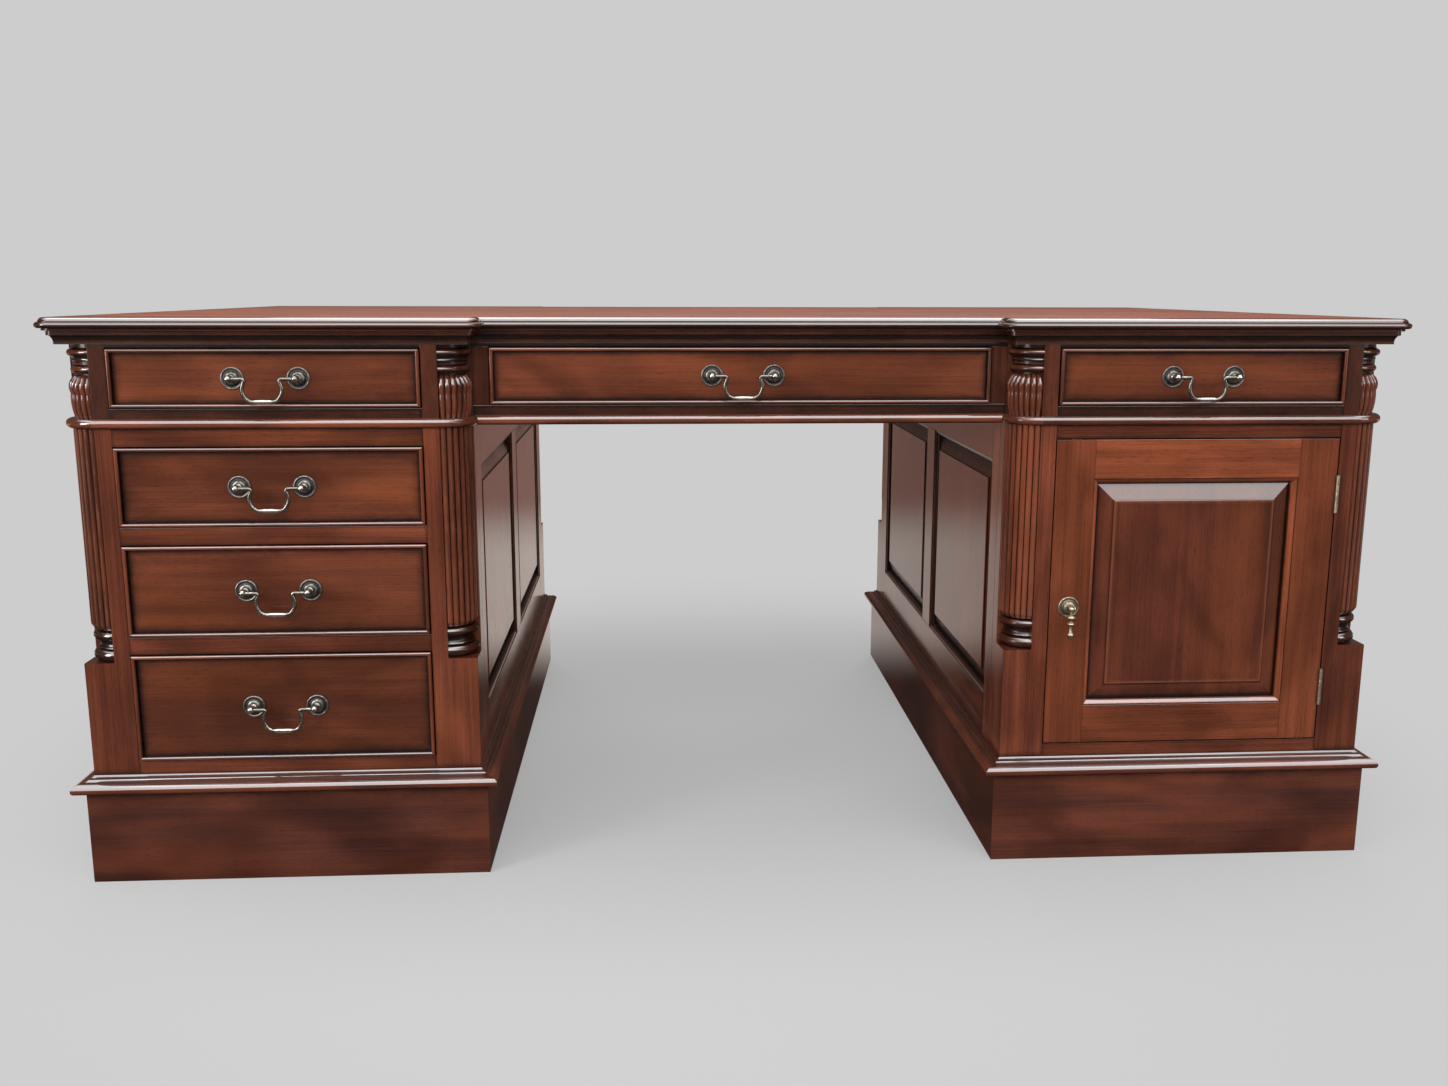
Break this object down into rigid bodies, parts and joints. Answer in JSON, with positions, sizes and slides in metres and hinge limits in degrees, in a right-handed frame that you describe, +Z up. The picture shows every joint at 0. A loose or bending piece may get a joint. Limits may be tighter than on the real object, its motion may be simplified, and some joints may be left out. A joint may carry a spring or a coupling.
{
  "type": "partners desk",
  "caption": "Pedestal desk for two sitters with a breakfront top, frieze drawers, reeded corner columns, a drawer stack and a panelled cupboard on each side, on moulded plinths.",
  "frame": {"origin": "on the floor under the middle of the desk", "axes": "+X along the desk to the right as seen from the front, -Y towards the sitter at the front, +Z up"},
  "size_m": [1.848, 1.088, 0.78],
  "materials": {
    "mahogany": "semi-gloss polish",
    "case_wood": "bare, waxed",
    "aged_bronze": "antiqued, worn bright",
    "aged_brass": "antiqued"
  },
  "bodies": {
    "carcass": {"top_board": "mahogany", "cornice_mouldings": "mahogany", "waist_beads": "mahogany", "frieze_frame": "mahogany", "frieze_columns": "mahogany", "pedestal_columns": "mahogany", "left_pedestal_frame": "mahogany", "right_pedestal_frame": "mahogany", "side_panels": "mahogany", "case_boards": "case_wood", "drawer_runners": "case_wood", "cupboard_shelves": "case_wood", "plinth_boards": "mahogany", "plinth_corner_blocks": "case_wood", "plinth_mouldings": "mahogany", "hinge_leaves_and_strikes": "aged_brass"},
    "front_left_frieze_drawer": {"front_left_frieze_drawer": "mahogany", "front_left_frieze_drawer_pull_plates": "aged_bronze"},
    "front_left_frieze_drawer_bail": {"front_left_frieze_drawer_bail": "aged_bronze"},
    "front_centre_frieze_drawer": {"front_centre_frieze_drawer": "mahogany", "front_centre_frieze_drawer_pull_plates": "aged_bronze"},
    "front_centre_frieze_drawer_bail": {"front_centre_frieze_drawer_bail": "aged_bronze"},
    "front_right_frieze_drawer": {"front_right_frieze_drawer": "mahogany", "front_right_frieze_drawer_pull_plates": "aged_bronze"},
    "front_right_frieze_drawer_bail": {"front_right_frieze_drawer_bail": "aged_bronze"},
    "front_top_drawer": {"front_top_drawer": "mahogany", "front_top_drawer_pull_plates": "aged_bronze"},
    "front_top_drawer_bail": {"front_top_drawer_bail": "aged_bronze"},
    "front_middle_drawer": {"front_middle_drawer": "mahogany", "front_middle_drawer_pull_plates": "aged_bronze"},
    "front_middle_drawer_bail": {"front_middle_drawer_bail": "aged_bronze"},
    "front_bottom_drawer": {"front_bottom_drawer": "mahogany", "front_bottom_drawer_pull_plates": "aged_bronze"},
    "front_bottom_drawer_bail": {"front_bottom_drawer_bail": "aged_bronze"},
    "front_cupboard_door": {"front_cupboard_door_frame": "mahogany", "front_cupboard_door_panel": "mahogany", "front_cupboard_door_fittings": "aged_brass"},
    "front_cupboard_door_drop": {"front_cupboard_door_drop": "aged_brass"},
    "back_left_frieze_drawer": {"back_left_frieze_drawer": "mahogany", "back_left_frieze_drawer_pull_plates": "aged_bronze"},
    "back_left_frieze_drawer_bail": {"back_left_frieze_drawer_bail": "aged_bronze"},
    "back_centre_frieze_drawer": {"back_centre_frieze_drawer": "mahogany", "back_centre_frieze_drawer_pull_plates": "aged_bronze"},
    "back_centre_frieze_drawer_bail": {"back_centre_frieze_drawer_bail": "aged_bronze"},
    "back_right_frieze_drawer": {"back_right_frieze_drawer": "mahogany", "back_right_frieze_drawer_pull_plates": "aged_bronze"},
    "back_right_frieze_drawer_bail": {"back_right_frieze_drawer_bail": "aged_bronze"},
    "back_top_drawer": {"back_top_drawer": "mahogany", "back_top_drawer_pull_plates": "aged_bronze"},
    "back_top_drawer_bail": {"back_top_drawer_bail": "aged_bronze"},
    "back_middle_drawer": {"back_middle_drawer": "mahogany", "back_middle_drawer_pull_plates": "aged_bronze"},
    "back_middle_drawer_bail": {"back_middle_drawer_bail": "aged_bronze"},
    "back_bottom_drawer": {"back_bottom_drawer": "mahogany", "back_bottom_drawer_pull_plates": "aged_bronze"},
    "back_bottom_drawer_bail": {"back_bottom_drawer_bail": "aged_bronze"},
    "back_cupboard_door": {"back_cupboard_door_frame": "mahogany", "back_cupboard_door_panel": "mahogany", "back_cupboard_door_fittings": "aged_brass"},
    "back_cupboard_door_drop": {"back_cupboard_door_drop": "aged_brass"}
  },
  "joints": [
    {"name": "front_left_frieze_drawer_slide", "type": "slide", "parent": "carcass", "child": "front_left_frieze_drawer", "axis": [0, -1, 0], "range_m": [0, 0.33]},
    {"name": "front_left_frieze_drawer_bail_swing", "type": "hinge", "parent": "front_left_frieze_drawer", "child": "front_left_frieze_drawer_bail", "pos_m": [-0.635, -0.535, 0.7005], "axis": [-1, 0, 0], "range_deg": [-25, 150]},
    {"name": "front_centre_frieze_drawer_slide", "type": "slide", "parent": "carcass", "child": "front_centre_frieze_drawer", "axis": [0, -1, 0], "range_m": [0, 0.33]},
    {"name": "front_centre_frieze_drawer_bail_swing", "type": "hinge", "parent": "front_centre_frieze_drawer", "child": "front_centre_frieze_drawer_bail", "pos_m": [0, -0.495, 0.7005], "axis": [-1, 0, 0], "range_deg": [-25, 150]},
    {"name": "front_right_frieze_drawer_slide", "type": "slide", "parent": "carcass", "child": "front_right_frieze_drawer", "axis": [0, -1, 0], "range_m": [0, 0.33]},
    {"name": "front_right_frieze_drawer_bail_swing", "type": "hinge", "parent": "front_right_frieze_drawer", "child": "front_right_frieze_drawer_bail", "pos_m": [0.635, -0.535, 0.7005], "axis": [-1, 0, 0], "range_deg": [-25, 150]},
    {"name": "front_top_drawer_slide", "type": "slide", "parent": "carcass", "child": "front_top_drawer", "axis": [0, -1, 0], "range_m": [0, 0.33]},
    {"name": "front_top_drawer_bail_swing", "type": "hinge", "parent": "front_top_drawer", "child": "front_top_drawer_bail", "pos_m": [-0.635, -0.535, 0.5555], "axis": [-1, 0, 0], "range_deg": [-25, 150]},
    {"name": "front_middle_drawer_slide", "type": "slide", "parent": "carcass", "child": "front_middle_drawer", "axis": [0, -1, 0], "range_m": [0, 0.33]},
    {"name": "front_middle_drawer_bail_swing", "type": "hinge", "parent": "front_middle_drawer", "child": "front_middle_drawer_bail", "pos_m": [-0.635, -0.535, 0.413], "axis": [-1, 0, 0], "range_deg": [-25, 150]},
    {"name": "front_bottom_drawer_slide", "type": "slide", "parent": "carcass", "child": "front_bottom_drawer", "axis": [0, -1, 0], "range_m": [0, 0.33]},
    {"name": "front_bottom_drawer_bail_swing", "type": "hinge", "parent": "front_bottom_drawer", "child": "front_bottom_drawer_bail", "pos_m": [-0.635, -0.535, 0.249], "axis": [-1, 0, 0], "range_deg": [-25, 150]},
    {"name": "front_cupboard_door_hinge", "type": "hinge", "parent": "carcass", "child": "front_cupboard_door", "pos_m": [0.83725, -0.5229, 0.39425], "axis": [0, 0, 1], "range_deg": [0, 165]},
    {"name": "front_cupboard_door_drop_swing", "type": "hinge", "parent": "front_cupboard_door", "child": "front_cupboard_door_drop", "pos_m": [0.4605, -0.535, 0.37601], "axis": [-1, 0, 0], "range_deg": [-12, 120]},
    {"name": "back_left_frieze_drawer_slide", "type": "slide", "parent": "carcass", "child": "back_left_frieze_drawer", "axis": [0, 1, 0], "range_m": [0, 0.33]},
    {"name": "back_left_frieze_drawer_bail_swing", "type": "hinge", "parent": "back_left_frieze_drawer", "child": "back_left_frieze_drawer_bail", "pos_m": [0.635, 0.535, 0.7005], "axis": [1, 0, 0], "range_deg": [-25, 150]},
    {"name": "back_centre_frieze_drawer_slide", "type": "slide", "parent": "carcass", "child": "back_centre_frieze_drawer", "axis": [0, 1, 0], "range_m": [0, 0.33]},
    {"name": "back_centre_frieze_drawer_bail_swing", "type": "hinge", "parent": "back_centre_frieze_drawer", "child": "back_centre_frieze_drawer_bail", "pos_m": [0, 0.495, 0.7005], "axis": [1, 0, 0], "range_deg": [-25, 150]},
    {"name": "back_right_frieze_drawer_slide", "type": "slide", "parent": "carcass", "child": "back_right_frieze_drawer", "axis": [0, 1, 0], "range_m": [0, 0.33]},
    {"name": "back_right_frieze_drawer_bail_swing", "type": "hinge", "parent": "back_right_frieze_drawer", "child": "back_right_frieze_drawer_bail", "pos_m": [-0.635, 0.535, 0.7005], "axis": [1, 0, 0], "range_deg": [-25, 150]},
    {"name": "back_top_drawer_slide", "type": "slide", "parent": "carcass", "child": "back_top_drawer", "axis": [0, 1, 0], "range_m": [0, 0.33]},
    {"name": "back_top_drawer_bail_swing", "type": "hinge", "parent": "back_top_drawer", "child": "back_top_drawer_bail", "pos_m": [0.635, 0.535, 0.5555], "axis": [1, 0, 0], "range_deg": [-25, 150]},
    {"name": "back_middle_drawer_slide", "type": "slide", "parent": "carcass", "child": "back_middle_drawer", "axis": [0, 1, 0], "range_m": [0, 0.33]},
    {"name": "back_middle_drawer_bail_swing", "type": "hinge", "parent": "back_middle_drawer", "child": "back_middle_drawer_bail", "pos_m": [0.635, 0.535, 0.413], "axis": [1, 0, 0], "range_deg": [-25, 150]},
    {"name": "back_bottom_drawer_slide", "type": "slide", "parent": "carcass", "child": "back_bottom_drawer", "axis": [0, 1, 0], "range_m": [0, 0.33]},
    {"name": "back_bottom_drawer_bail_swing", "type": "hinge", "parent": "back_bottom_drawer", "child": "back_bottom_drawer_bail", "pos_m": [0.635, 0.535, 0.249], "axis": [1, 0, 0], "range_deg": [-25, 150]},
    {"name": "back_cupboard_door_hinge", "type": "hinge", "parent": "carcass", "child": "back_cupboard_door", "pos_m": [-0.83725, 0.5229, 0.39425], "axis": [0, 0, 1], "range_deg": [0, 165]},
    {"name": "back_cupboard_door_drop_swing", "type": "hinge", "parent": "back_cupboard_door", "child": "back_cupboard_door_drop", "pos_m": [-0.4605, 0.535, 0.37601], "axis": [1, 0, 0], "range_deg": [-12, 120]}
  ]
}
